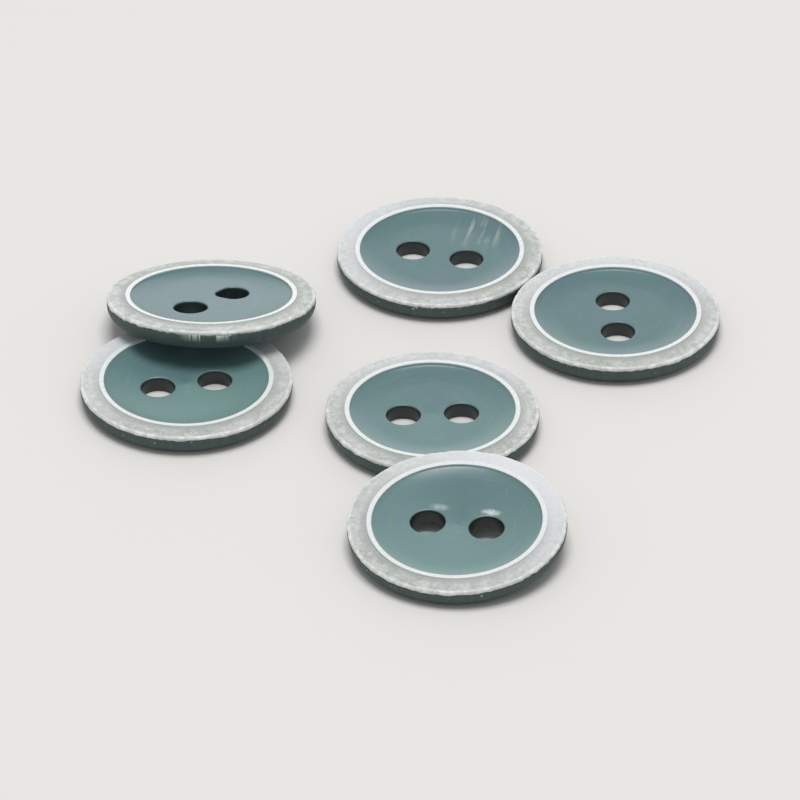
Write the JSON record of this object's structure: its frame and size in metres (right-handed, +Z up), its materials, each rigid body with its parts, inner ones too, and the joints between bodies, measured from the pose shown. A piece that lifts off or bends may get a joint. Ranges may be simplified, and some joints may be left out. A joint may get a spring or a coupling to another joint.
{
  "type": "set of two-hole sewing buttons",
  "caption": "Loose sewing buttons: teal discs with a shallow recess, two holes and a pale frosted rim layer; two lean on a neighbour.",
  "frame": {"origin": "middle of the set's bounding box, on the table", "axes": "+X to the right and +Y away from the viewer in the picture's view, +Z up from the table"},
  "size_m": [0.0304, 0.0336, 0.003],
  "materials": {
    "teal_resin": "soft satin polish",
    "pale_layer": "frosted pearl"
  },
  "bodies": {
    "root": {"back_left_button_body": "teal_resin", "back_left_button_rim": "pale_layer", "back_middle_button_body": "teal_resin", "back_middle_button_rim": "pale_layer", "right_button_body": "teal_resin", "right_button_rim": "pale_layer", "front_left_button_body": "teal_resin", "front_left_button_rim": "pale_layer", "middle_button_body": "teal_resin", "middle_button_rim": "pale_layer", "front_button_body": "teal_resin", "front_button_rim": "pale_layer"}
  },
  "joints": []
}
